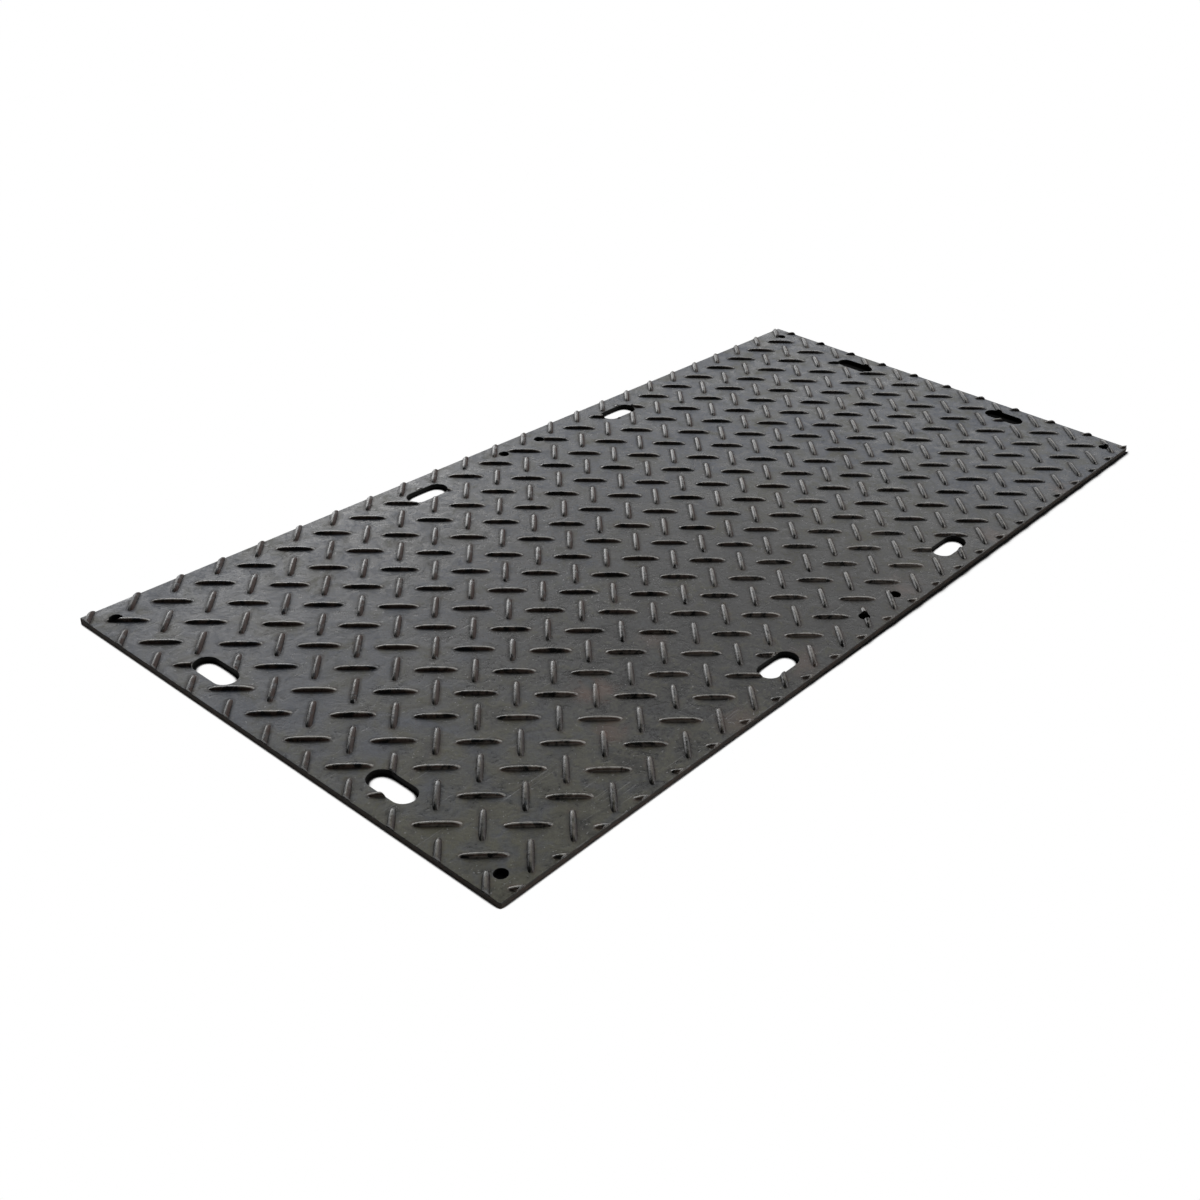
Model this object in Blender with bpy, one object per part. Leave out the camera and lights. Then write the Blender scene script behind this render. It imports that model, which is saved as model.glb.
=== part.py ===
"""Ground protection mat: one moulded sheet of black plastic with a raised tread, hand slots and pin holes.

The sheet lies flat. +X runs along its length, +Y across it and +Z up through the tread.
The origin is at the middle of the flat underside. All sizes are in metres.
"""
from math import ceil, cos, floor, pi, radians, sin

import bmesh
import bpy
from mathutils import Matrix, Vector

# Sheet
LENGTH = 2.440
WIDTH = 1.220
THICKNESS = 0.0127
CORNER_RADIUS = 0.004

# Tread bar: a long lug with tapered ends, steep flanks and a narrow flat crest
BAR_LENGTH = 0.086
BAR_WIDTH = 0.0145
BAR_HEIGHT = 0.006
BAR_TAPER = 0.010
CREST_LENGTH = 0.046
CREST_WIDTH = 0.004
BAR_ANGLE = radians(45)

# Tread pattern: rows of bars leaning back, with rows of bars leaning forward half a pitch between them
PITCH_X = 0.1040
PITCH_Y = 0.1159
FIRST_BAR_FROM_END = 0.0620
FIRST_BAR_FROM_SIDE = 0.1020

# Hand slots: two along each edge, in line with it
SLOT_LENGTH = 0.115
SLOT_WIDTH = 0.052
SLOT_FROM_EDGE = 0.077
SLOT_SPACING_SIDE = 0.702
SLOT_SPACING_END = 0.518

# Pin holes: one in each corner, and a pair at the middle of each long side
HOLE_DIAMETER = 0.026
HOLE_FROM_EDGE = 0.050
HOLE_PAIR_SPACING = 0.129

# Faceting, and how far a tool or a bar's root runs past the surface that it crosses
SLOT_END_SIDES = 8
HOLE_SIDES = 16
CORNER_SIDES = 4
OVERRUN = 0.005
BAR_ROOT = 0.002


def clear_scene():
    for thing in list(bpy.data.objects):
        bpy.data.objects.remove(thing, do_unlink=True)


def black_plastic():
    """Weathered charcoal polyethylene, matt with a faint sheen."""
    material = bpy.data.materials.new("black_polyethylene")
    material.use_nodes = True
    shader = material.node_tree.nodes["Principled BSDF"]
    shader.inputs["Base Color"].default_value = (0.030, 0.030, 0.029, 1.0)
    shader.inputs["Roughness"].default_value = 0.48
    shader.inputs["Metallic"].default_value = 0.0
    return material


def add_object(name, form):
    """The bmesh as an object at the origin, with its normals out."""
    bmesh.ops.recalc_face_normals(form, faces=form.faces)
    mesh = bpy.data.meshes.new(name)
    form.to_mesh(mesh)
    form.free()
    thing = bpy.data.objects.new(name, mesh)
    bpy.context.scene.collection.objects.link(thing)
    return thing


def add_prism(form, outline, low, high):
    """A straight prism between two heights, on an outline of (x, y) points."""
    floor_face = form.faces.new([form.verts.new((x, y, low)) for x, y in outline])
    risen = bmesh.ops.extrude_face_region(form, geom=[floor_face])["geom"]
    corners = [part for part in risen if isinstance(part, bmesh.types.BMVert)]
    bmesh.ops.translate(form, vec=Vector((0, 0, high - low)), verts=corners)


def rounded_outline(length, width, radius, sides):
    """A rectangle about the origin whose four corners are arcs of this many sides."""
    points = []
    for quarter, (sx, sy) in enumerate(((1, 1), (-1, 1), (-1, -1), (1, -1))):
        middle_x = sx * (length / 2 - radius)
        middle_y = sy * (width / 2 - radius)
        for step in range(sides + 1):
            angle = (quarter + step / sides) * pi / 2
            points.append((middle_x + radius * cos(angle), middle_y + radius * sin(angle)))
    return points


def slot_outline(place, turned):
    """A slot with half-round ends, along X, or along Y when turned."""
    radius = SLOT_WIDTH / 2
    reach = SLOT_LENGTH / 2 - radius
    points = []
    for side in (1, -1):
        for step in range(SLOT_END_SIDES + 1):
            angle = (step / SLOT_END_SIDES - 0.5) * pi
            along = side * (reach + radius * cos(angle))
            across = side * radius * sin(angle)
            points.append((-across, along) if turned else (along, across))
    return [(place[0] + x, place[1] + y) for x, y in points]


def hole_outline(place):
    radius = HOLE_DIAMETER / 2
    angles = [2 * pi * step / HOLE_SIDES for step in range(HOLE_SIDES)]
    return [(place[0] + radius * cos(a), place[1] + radius * sin(a)) for a in angles]


def slot_places():
    """The middle of each slot, with True where the slot runs along Y."""
    end_x = LENGTH / 2 - SLOT_FROM_EDGE
    side_y = WIDTH / 2 - SLOT_FROM_EDGE
    for near in (-1, 1):
        for left in (-1, 1):
            yield (near * end_x, left * SLOT_SPACING_END / 2), True
            yield (near * SLOT_SPACING_SIDE / 2, left * side_y), False


def hole_places():
    corner_x = LENGTH / 2 - HOLE_FROM_EDGE
    side_y = WIDTH / 2 - HOLE_FROM_EDGE
    for along in (-corner_x, -HOLE_PAIR_SPACING / 2, HOLE_PAIR_SPACING / 2, corner_x):
        for left in (-1, 1):
            yield along, left * side_y


def bar_places():
    """The middle of each bar and the way that it leans: back is 1 and forward is -1.

    The pattern is cut off at the sheet's edges, so it starts before them and ends past them.
    """
    reach = BAR_LENGTH / 2
    for lean, shift in ((1, 0.0), (-1, 0.5)):
        start_x = FIRST_BAR_FROM_END - shift * PITCH_X
        start_y = FIRST_BAR_FROM_SIDE - shift * PITCH_Y
        first_column = ceil((-reach - start_x) / PITCH_X)
        last_column = floor((LENGTH + reach - start_x) / PITCH_X)
        first_row = ceil((-reach - start_y) / PITCH_Y)
        last_row = floor((WIDTH + reach - start_y) / PITCH_Y)
        for column in range(first_column, last_column + 1):
            for row in range(first_row, last_row + 1):
                x = start_x + column * PITCH_X - LENGTH / 2
                y = start_y + row * PITCH_Y - WIDTH / 2
                yield (x, y), lean


def add_bar(form, place, lean):
    """One bar standing on the sheet, its root sunk below the top face."""
    tip = BAR_LENGTH / 2
    shoulder = tip - BAR_TAPER
    half = BAR_WIDTH / 2
    outline = [(tip, 0), (shoulder, half), (-shoulder, half), (-tip, 0), (-shoulder, -half), (shoulder, -half)]
    crest = [(CREST_LENGTH / 2 * sx, CREST_WIDTH / 2 * sy) for sx, sy in ((1, 1), (-1, 1), (-1, -1), (1, -1))]
    turn = Matrix.Rotation(-lean * BAR_ANGLE, 4, "Z")
    move = Matrix.Translation((place[0], place[1], THICKNESS)) @ turn

    def ring(points, height):
        return [form.verts.new(move @ Vector((x, y, height))) for x, y in points]

    root = ring(outline, -BAR_ROOT)
    base = ring(outline, 0.0)
    top = ring(crest, BAR_HEIGHT)
    form.faces.new(root[::-1])
    for k in range(len(outline)):
        after = (k + 1) % len(outline)
        form.faces.new((root[k], root[after], base[after], base[k]))
    form.faces.new((base[1], base[2], top[1], top[0]))
    form.faces.new((base[4], base[5], top[3], top[2]))
    for tip_point, left, right, left_top, right_top in ((0, 5, 1, 3, 0), (3, 2, 4, 1, 2)):
        form.faces.new((base[left], base[tip_point], top[left_top]))
        form.faces.new((base[tip_point], base[right], top[right_top]))
        form.faces.new((base[tip_point], top[right_top], top[left_top]))
    form.faces.new(top)


def add_blank():
    """A flat slab that reaches past the finished sheet all round."""
    form = bmesh.new()
    spare = 2 * BAR_LENGTH
    add_prism(form, rounded_outline(LENGTH + spare, WIDTH + spare, BAR_LENGTH / 2, 1), 0.0, THICKNESS)
    return add_object("ground_mat", form)


def add_tread():
    form = bmesh.new()
    for place, lean in bar_places():
        add_bar(form, place, lean)
    return add_object("tread_bars", form)


def add_outline_tool():
    """The finished outline, taller than the sheet and its tread."""
    form = bmesh.new()
    outline = rounded_outline(LENGTH, WIDTH, CORNER_RADIUS, CORNER_SIDES)
    add_prism(form, outline, -OVERRUN, THICKNESS + BAR_HEIGHT + OVERRUN)
    return add_object("outline_tool", form)


def add_opening_tools():
    """Punches for the slots and the pin holes, through the sheet and its tread."""
    form = bmesh.new()
    top = THICKNESS + BAR_HEIGHT + OVERRUN
    for place, turned in slot_places():
        add_prism(form, slot_outline(place, turned), -OVERRUN, top)
    for place in hole_places():
        add_prism(form, hole_outline(place), -OVERRUN, top)
    return add_object("opening_tools", form)


def combine(body, tool, operation):
    """A Boolean on the body; the tool itself isn't part of the object."""
    tool.hide_render = True
    tool.display_type = "WIRE"
    step = body.modifiers.new(tool.name, "BOOLEAN")
    step.operation = operation
    step.solver = "EXACT"
    step.object = tool


def build_mat():
    mat = add_blank()
    mat.data.materials.append(black_plastic())
    combine(mat, add_tread(), "UNION")
    combine(mat, add_outline_tool(), "INTERSECT")
    combine(mat, add_opening_tools(), "DIFFERENCE")
    return mat


clear_scene()
build_mat()
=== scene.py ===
"""Ground protection mat: one moulded sheet of black polyethylene with a raised bar tread, in a plain studio.

The mat lies flat. +X runs along its length, +Y across it and +Z up through the tread.
The origin is at the middle of the flat underside. All sizes are in metres.
"""
import logging
import math
from dataclasses import dataclass
from enum import Enum
from typing import Any, Optional, Sequence, Union

import bpy
import numpy as np
from mathutils import Matrix, Vector


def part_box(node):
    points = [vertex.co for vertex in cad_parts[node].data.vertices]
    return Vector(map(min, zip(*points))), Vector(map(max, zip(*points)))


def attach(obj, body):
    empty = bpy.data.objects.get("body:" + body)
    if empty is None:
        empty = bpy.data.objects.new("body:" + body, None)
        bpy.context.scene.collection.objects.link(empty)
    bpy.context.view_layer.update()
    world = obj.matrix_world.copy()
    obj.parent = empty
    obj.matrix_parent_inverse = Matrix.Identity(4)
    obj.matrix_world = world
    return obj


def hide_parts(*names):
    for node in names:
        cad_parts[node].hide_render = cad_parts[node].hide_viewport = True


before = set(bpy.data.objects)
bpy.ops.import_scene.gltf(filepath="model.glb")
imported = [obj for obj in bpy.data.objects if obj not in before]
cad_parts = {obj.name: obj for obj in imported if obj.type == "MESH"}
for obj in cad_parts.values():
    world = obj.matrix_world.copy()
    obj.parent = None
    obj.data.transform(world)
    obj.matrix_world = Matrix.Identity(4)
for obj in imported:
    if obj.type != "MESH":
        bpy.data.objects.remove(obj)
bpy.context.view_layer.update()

LOG = logging.getLogger("ground_mat")
CAD_NODE = "ground_mat"
CAD_BODY = "root"
PLASTIC_IOR = 1.5
NOISE_MIDDLE = 0.5

Socket = bpy.types.NodeSocket
Colour = tuple[float, float, float]
Number = Union[int, float]
# Where a smooth step is 0, and where it is 1
Step = tuple[float, float]

# How ragged a soft patch's edge is, and where it starts and is whole, as shares of the patch's radius
PATCH_RAGGEDNESS = 1.6
PATCH_EDGE: Step = (1.15, 0.25)


class Lean(Enum):
    """The way that a row of tread bars leans, as the sign of its turn about +Z."""

    BACK = -1
    FORWARD = 1


class Solid(Enum):
    """How a tool is combined with the body that it works on."""

    JOIN = "UNION"
    KEEP_INSIDE = "INTERSECT"
    CUT = "DIFFERENCE"


class Value:
    """A number that a shader works out: arithmetic on it adds Math nodes to its graph."""

    def __init__(self, graph: "Graph", socket: Socket) -> None:
        """Wraps one output socket.

        Args:
            graph: The graph that new nodes go into.
            socket: The output that holds the number.
        """
        self.graph = graph
        self.socket = socket

    def _math(self, operation: str, *inputs: Any) -> "Value":
        """One Math node.

        Args:
            operation: Blender's name of the operation.
            inputs: The node's inputs in order, as values or numbers.

        Returns:
            The node's result.
        """
        node = self.graph.node("ShaderNodeMath", {"operation": operation}, dict(enumerate(inputs)))
        return Value(self.graph, node.outputs[0])

    def __add__(self, other: Any) -> "Value":
        """The sum."""
        return self._math("ADD", self, other)

    def __radd__(self, other: Any) -> "Value":
        """The sum, with the number on the left."""
        return self._math("ADD", other, self)

    def __sub__(self, other: Any) -> "Value":
        """The difference."""
        return self._math("SUBTRACT", self, other)

    def __rsub__(self, other: Any) -> "Value":
        """The difference, with the number on the left."""
        return self._math("SUBTRACT", other, self)

    def __mul__(self, other: Any) -> "Value":
        """The product."""
        return self._math("MULTIPLY", self, other)

    def __rmul__(self, other: Any) -> "Value":
        """The product, with the number on the left."""
        return self._math("MULTIPLY", other, self)

    def __truediv__(self, other: Any) -> "Value":
        """The quotient."""
        return self._math("DIVIDE", self, other)

    def __abs__(self) -> "Value":
        """The absolute value."""
        return self._math("ABSOLUTE", self)

    def floor(self) -> "Value":
        """The whole number below."""
        return self._math("FLOOR", self)

    def root(self) -> "Value":
        """The square root."""
        return self._math("SQRT", self)

    def lesser(self, other: Any) -> "Value":
        """The smaller of the two."""
        return self._math("MINIMUM", self, other)

    def greater(self, other: Any) -> "Value":
        """The larger of the two."""
        return self._math("MAXIMUM", self, other)

    def below(self, other: Any) -> "Value":
        """1 where it is below the other, and 0 elsewhere."""
        return self._math("LESS_THAN", self, other)

    def swing(self) -> "Value":
        """How far a noise is from its middle."""
        return self - NOISE_MIDDLE

    def share(self, low: Number, high: Number) -> "Value":
        """A smooth step.

        Args:
            low: Where the step starts, at 0.
            high: Where the step ends, at 1. It may be below low, for a step that falls.

        Returns:
            The share, from 0 to 1.
        """
        start, end, first, last = (low, high, 0.0, 1.0) if low < high else (high, low, 1.0, 0.0)
        settings = {"interpolation_type": "SMOOTHSTEP"}
        inputs = {"Value": self, "From Min": start, "From Max": end, "To Min": first, "To Max": last}
        return Value(self.graph, self.graph.node("ShaderNodeMapRange", settings, inputs).outputs[0])


Input = Union[Value, Number, Sequence[float], Socket]


class Graph:
    """The nodes of one material or world."""

    def __init__(self, tree: bpy.types.NodeTree) -> None:
        """Starts from an empty tree.

        Args:
            tree: The node tree to fill.
        """
        self.tree = tree
        self.tree.nodes.clear()

    def node(self, kind: str, settings: Optional[dict[str, Any]] = None,
             inputs: Optional[dict[Union[int, str], Input]] = None) -> bpy.types.Node:
        """Adds a node.

        Args:
            kind: Blender's type of the node.
            settings: The node's own settings, which are set first.
            inputs: The values or links of its sockets, by name or by place.

        Returns:
            The new node.
        """
        made = self.tree.nodes.new(kind)
        for name, setting in (settings or {}).items():
            setattr(made, name, setting)
        for key, given in (inputs or {}).items():
            socket = made.inputs[key]
            if isinstance(given, Value):
                self.tree.links.new(given.socket, socket)
            elif isinstance(given, Socket):
                self.tree.links.new(given, socket)
            else:
                socket.default_value = given
        return made

    def parts(self, vector: Socket) -> list[Value]:
        """A vector's three parts."""
        return [Value(self, part) for part in self.node("ShaderNodeSeparateXYZ", {}, {0: vector}).outputs]

    def blend(self, factor: Input, first: Input, second: Input) -> Socket:
        """A colour between two others.

        Args:
            factor: 0 for the first colour and 1 for the second.
            first: The first colour.
            second: The second colour.

        Returns:
            The blended colour.
        """
        colours = [given if isinstance(given, Socket) else (*given, 1.0)
                   for given in (first, second)]
        settings = {"data_type": "RGBA"}
        return self.node("ShaderNodeMix", settings, {0: factor, 6: colours[0], 7: colours[1]}).outputs[2]

    def noise(self, place: Socket, scale: float, detail: float = 2.0,
              roughness: float = 0.5, distortion: float = 0.0) -> Value:
        """Soft cloudy noise, mostly between 0.3 and 0.7.

        Args:
            place: The coordinates that it is read at.
            scale: Clouds to a metre.
            detail: How many finer layers are laid over it.
            roughness: How strong the finer layers are.
            distortion: How much the clouds are pulled about.

        Returns:
            The noise.
        """
        inputs = {"Vector": place, "Scale": scale, "Detail": detail,
                  "Roughness": roughness, "Distortion": distortion}
        return Value(self, self.node("ShaderNodeTexNoise", {}, inputs).outputs["Fac"])

    def turned(self, place: Socket, degrees: float, stretch: Colour,
               shift: Colour = (0.0, 0.0, 0.0)) -> Socket:
        """The coordinates turned about +Z and stretched, for marks that run one way.

        Args:
            place: The coordinates.
            degrees: The turn.
            stretch: The scale along each turned axis.
            shift: The offset, so that two layers of marks differ.

        Returns:
            The new coordinates.
        """
        inputs = {"Vector": place, "Rotation": (0.0, 0.0, math.radians(degrees)),
                  "Scale": stretch, "Location": shift}
        return self.node("ShaderNodeMapping", {}, inputs).outputs[0]


def ring_walls(rings: int, count: int) -> np.ndarray:
    """The four-sided faces between closed rings of points, each from a point to the next and up a ring.

    Args:
        rings: How many rings there are, from the bottom to the top.
        count: How many points each ring has.

    Returns:
        An array of faces x 4 points, all facing outwards.
    """
    here = np.arange(count)
    after = (here + 1) % count
    lower = count * np.arange(rings - 1)[:, None]
    corners = [lower + here, lower + after, lower + count + after, lower + count + here]
    return np.stack(corners, axis=-1).reshape(-1, 4)


@dataclass(frozen=True)
class TreadPattern:
    """Where the tread bars stand: two sets of rows, one half a pitch from the other both ways."""

    length: float
    width: float
    pitch_along: float = 0.1040
    pitch_across: float = 0.1159
    first_from_end: float = 0.0620
    first_from_side: float = 0.1020

    def start(self, lean: Lean) -> tuple[float, float]:
        """The bar nearest to the front left corner, for one set of rows.

        Args:
            lean: Which set of rows.

        Returns:
            Its x and y.
        """
        shift = 0.0 if lean is Lean.BACK else 0.5
        x = self.first_from_end - shift * self.pitch_along - self.length / 2
        y = self.first_from_side - shift * self.pitch_across - self.width / 2
        return x, y

    def places(self, lean: Lean, reach: float) -> np.ndarray:
        """The middles of one set of bars, over the sheet and as far past its edges as a bar reaches.

        The middles are start + pitch x whole number, both ways, on a grid of columns and rows.

        Args:
            lean: Which set of rows.
            reach: How far a bar reaches from its middle.

        Returns:
            An array of (x, y), one line for each bar.
        """
        axes = []
        sizes = (self.length, self.width)
        for first, pitch, size in zip(self.start(lean), (self.pitch_along, self.pitch_across), sizes):
            low = math.ceil((-size / 2 - reach - first) / pitch)
            high = math.floor((size / 2 + reach - first) / pitch)
            axes.append(first + pitch * np.arange(low, high + 1))
        return np.stack(np.meshgrid(*axes, indexing="ij"), axis=-1).reshape(-1, 2)


@dataclass(frozen=True)
class TreadBar:
    """One tread bar: a long ridge with steep feet and round ends, whose crest is arched from end to end."""

    height: float
    length: float = 0.086
    width: float = 0.0145
    section: tuple[tuple[float, float], ...] = ((1.0, 0.0), (0.88, 0.44), (0.54, 0.80), (0.24, 1.0))
    end_slope: float = 1.2
    arch_powers: tuple[float, float] = (2.9, 0.70)
    outline_power: float = 3.5
    steps_round: int = 14
    root: float = 0.002
    angle: float = math.radians(45)

    def rings(self) -> np.ndarray:
        """The bar's surface about its own middle, lying along X.

        The section gives each ring's share of the half width and of the height. With c and s for a
        cosine and a sine raised to 2 / power, keeping their sign, the point at angle a round a ring is
        (half length x c(a), half width x s(a)). The ends come in by end slope times as much as the
        sides. A point stands at its ring's height x (1 - d ^ p) ^ q, where d is its share of the bar's
        half length and p and q are the arch powers. The first ring is sunk below the sheet's top face.

        Returns:
            An array of rings x points x (x, y, z).
        """
        round_angle = 2 * np.pi * (np.arange(self.steps_round) + 0.5) / self.steps_round
        power = 2 / self.outline_power
        along = np.sign(np.cos(round_angle)) * np.abs(np.cos(round_angle)) ** power
        across = np.sign(np.sin(round_angle)) * np.abs(np.sin(round_angle)) ** power
        side, rise = np.array(self.section).T
        half_width = 0.5 * self.width * side
        half_length = 0.5 * self.length - self.end_slope * (0.5 * self.width - half_width)
        ridge = np.empty((len(side), self.steps_round, 3))
        ridge[..., 0] = half_length[:, None] * along
        ridge[..., 1] = half_width[:, None] * across
        bend, blunt = self.arch_powers
        arch = (1 - np.abs(2 * ridge[..., 0] / self.length) ** bend) ** blunt
        ridge[..., 2] = self.height * rise[:, None] * arch
        sunk = ridge[:1] - (0.0, 0.0, self.root)
        return np.concatenate([sunk, ridge])

    def mesh_data(self, places: np.ndarray, lean: Lean, level: float) -> tuple[np.ndarray, list[list[int]]]:
        """Every bar of one set of rows.

        Args:
            places: The bars' middles.
            lean: The way that they lean.
            level: The height of the sheet's top face.

        Returns:
            The points, and the faces as lists of points, all facing outwards.
        """
        rings = self.rings()
        one = rings.reshape(-1, 3)
        turn = lean.value * self.angle
        spin = np.array([[math.cos(turn), -math.sin(turn), 0], [math.sin(turn), math.cos(turn), 0], [0, 0, 1]])
        middles = np.concatenate([places, np.full((len(places), 1), level)], axis=1)
        points = (one @ spin.T)[None] + middles[:, None]
        count = self.steps_round
        left = count * (len(rings) - 1) + np.arange(count // 2 - 1)
        right = count * len(rings) - 1 - np.arange(count // 2 - 1)
        crest = np.stack([left, left + 1, right - 1, right], axis=-1)
        offset = len(one) * np.arange(len(places))[:, None, None]
        faces = (np.concatenate([ring_walls(len(rings), count), crest])[None] + offset).reshape(-1, 4).tolist()
        faces += (np.arange(count)[::-1][None] + offset[:, :, 0]).tolist()
        return points.reshape(-1, 3), faces


@dataclass(frozen=True)
class RoundedTool:
    """A straight tool on a rectangle with round corners, whose sides follow a profile."""

    length: float
    width: float
    radius: float
    corner_steps: int = 8

    def mesh_data(self, profile: np.ndarray, place: Sequence[float] = (0.0, 0.0)
                  ) -> tuple[np.ndarray, list[list[int]]]:
        """The tool's closed surface.

        At angle a round the outline and step p of the profile, the point is the middle of its corner's
        arc plus (radius + offset of p) x (cos a, sin a), at the height of p.

        Args:
            profile: The offset and height of each step, from the bottom to the top.
            place: The middle of the tool.

        Returns:
            The points, and the faces as lists of points, all facing outwards.
        """
        quarter = np.linspace(0, np.pi / 2, self.corner_steps + 1)
        angle = (quarter[None] + np.arange(4)[:, None] * np.pi / 2).reshape(-1)
        signs = np.repeat([[1, 1], [-1, 1], [-1, -1], [1, -1]], self.corner_steps + 1, axis=0)
        core = signs * (self.length / 2 - self.radius, self.width / 2 - self.radius)
        heading = np.stack([np.cos(angle), np.sin(angle)], axis=-1)
        points = np.empty((len(profile), len(angle), 3))
        points[..., :2] = core + (self.radius + profile[:, 0])[:, None, None] * heading + place
        points[..., 2] = profile[:, 1][:, None]
        count = len(angle)
        here = np.arange(count)
        faces = ring_walls(len(profile), count).tolist()
        faces.append(here[::-1].tolist())
        faces.append((here + count * (len(profile) - 1)).tolist())
        return points.reshape(-1, 3), faces


def add_mesh(name: str, points: np.ndarray, faces: list[list[int]]) -> bpy.types.Object:
    """A mesh object at the origin.

    Args:
        name: The object's name.
        points: The points.
        faces: The faces as lists of points.

    Returns:
        The new object.
    """
    mesh = bpy.data.meshes.new(name)
    mesh.from_pydata(points.tolist(), [], faces)
    mesh.validate()
    made = bpy.data.objects.new(name, mesh)
    bpy.context.scene.collection.objects.link(made)
    return made


def gather(parts: Sequence[tuple[np.ndarray, list[list[int]]]]) -> tuple[np.ndarray, list[list[int]]]:
    """Several meshes as one.

    Args:
        parts: The points and faces of each.

    Returns:
        All the points, and all the faces counted on through them.
    """
    points, faces, start = [], [], 0
    for some_points, some_faces in parts:
        points.append(some_points)
        faces += [[start + corner for corner in face] for face in some_faces]
        start += len(some_points)
    return np.concatenate(points), faces


def combine(body: bpy.types.Object, tool: bpy.types.Object, way: Solid) -> None:
    """Works on the body with a tool, and throws the tool away.

    Args:
        body: The solid to change.
        tool: The closed solid that it is changed with.
        way: How they are combined.
    """
    step = body.modifiers.new(tool.name, "BOOLEAN")
    step.operation = way.value
    step.solver = "MANIFOLD"
    step.object = tool
    finish_modifiers(body)
    bpy.data.objects.remove(tool, do_unlink=True)


def finish_modifiers(body: bpy.types.Object) -> None:
    """Turns the body's modifiers into its mesh.

    Args:
        body: The object to finish.
    """
    graph = bpy.context.evaluated_depsgraph_get()
    finished = bpy.data.meshes.new_from_object(body.evaluated_get(graph))
    body.modifiers.clear()
    body.data = finished


@dataclass
class MouldedMat:
    """The mat: a flat sheet with its tread, cut off at its edges and at its slots and pin holes."""

    length: float
    width: float
    height: float
    thickness: float = 0.0127
    corner_radius: float = 0.004
    rim_radius: float = 0.0012
    slot_length: float = 0.115
    slot_width: float = 0.052
    slot_from_edge: float = 0.077
    slot_spacing_side: float = 0.702
    slot_spacing_end: float = 0.518
    hole_diameter: float = 0.026
    hole_from_edge: float = 0.050
    hole_pair_spacing: float = 0.129
    overrun: float = 0.005
    rim_steps: int = 3
    hole_corner_steps: int = 6
    smooth_under: float = math.radians(42)
    normal_weight: int = 100

    @property
    def bar(self) -> TreadBar:
        """The tread bar, which stands from the sheet to the top of the whole mat."""
        return TreadBar(self.height - self.thickness)

    @property
    def pattern(self) -> TreadPattern:
        """The tread's pattern on this sheet."""
        return TreadPattern(self.length, self.width)

    def profile(self, side: int) -> np.ndarray:
        """The side of a tool that leaves a rounded rim on the sheet's top face.

        It runs straight up, follows a quarter circle of the rim's radius to the top face, and runs
        straight up again past the tread. At angle a the quarter circle is offset by radius x (1 - cos a)
        and stands radius x (1 - sin a) below the face.

        Args:
            side: 1 where the tool widens at the rim, and -1 where it narrows.

        Returns:
            The offset and height of each step, from the bottom to the top.
        """
        angle = np.linspace(0, np.pi / 2, self.rim_steps + 1)
        offset = side * self.rim_radius * (1 - np.cos(angle))
        level = self.thickness - self.rim_radius * (1 - np.sin(angle))
        rim = np.stack([offset, level], axis=-1)
        top = self.thickness + self.bar.height + self.overrun
        return np.concatenate([[[0.0, -self.overrun]], rim, [[side * self.rim_radius, top]]])

    def blank(self) -> bpy.types.Object:
        """A slab that reaches past the finished sheet all round."""
        spare = 2 * self.bar.length
        slab = RoundedTool(self.length + spare, self.width + spare, self.bar.length / 2, corner_steps=1)
        return add_mesh("moulded_mat", *slab.mesh_data(np.array([[0.0, 0.0], [0.0, self.thickness]])))

    def tread(self) -> bpy.types.Object:
        """All the tread bars, each a closed solid with its root in the sheet."""
        reach = self.bar.length / 2
        sets = [self.bar.mesh_data(self.pattern.places(lean, reach), lean, self.thickness) for lean in Lean]
        return add_mesh("tread_bars", *gather(sets))

    def outline_tool(self) -> bpy.types.Object:
        """The finished outline with its rim."""
        outline = RoundedTool(self.length, self.width, self.corner_radius)
        return add_mesh("outline_tool", *outline.mesh_data(self.profile(-1)))

    def opening_tools(self) -> bpy.types.Object:
        """Punches for the hand slots, in pairs along each edge, and for the pin holes."""
        flare = self.profile(1)
        end_x = self.length / 2 - self.slot_from_edge
        side_y = self.width / 2 - self.slot_from_edge
        hole_x = self.length / 2 - self.hole_from_edge
        hole_y = self.width / 2 - self.hole_from_edge
        radius = self.slot_width / 2
        along = RoundedTool(self.slot_length, self.slot_width, radius)
        across = RoundedTool(self.slot_width, self.slot_length, radius)
        hole = RoundedTool(self.hole_diameter, self.hole_diameter, self.hole_diameter / 2, self.hole_corner_steps)
        tools = []
        for left in (-1, 1):
            for near in (-1, 1):
                tools.append(across.mesh_data(flare, (near * end_x, left * self.slot_spacing_end / 2)))
                tools.append(along.mesh_data(flare, (near * self.slot_spacing_side / 2, left * side_y)))
                tools.append(hole.mesh_data(flare, (near * hole_x, left * hole_y)))
                tools.append(hole.mesh_data(flare, (near * self.hole_pair_spacing / 2, left * hole_y)))
        return add_mesh("opening_tools", *gather(tools))

    def build(self, finish: "BlackPolyethylene") -> bpy.types.Object:
        """Makes the mat and dresses it.

        Args:
            finish: The plastic.

        Returns:
            The finished piece.
        """
        mat = self.blank()
        combine(mat, self.tread(), Solid.JOIN)
        combine(mat, self.outline_tool(), Solid.KEEP_INSIDE)
        combine(mat, self.opening_tools(), Solid.CUT)
        mat.data.shade_smooth()
        mat.data.set_sharp_from_angle(angle=self.smooth_under)
        weighted = mat.modifiers.new("weighted_normals", "WEIGHTED_NORMAL")
        weighted.keep_sharp = True
        weighted.weight = self.normal_weight
        finish_modifiers(mat)
        mat.data.materials.clear()
        mat.data.materials.append(finish.material(self))
        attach(mat, CAD_BODY)
        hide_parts(CAD_NODE)
        return mat


@dataclass(frozen=True)
class Stain:
    """A soft patch on the sheet: its middle, its radius and how strong it is."""

    x: float
    y: float
    radius: float
    strength: float


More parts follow.
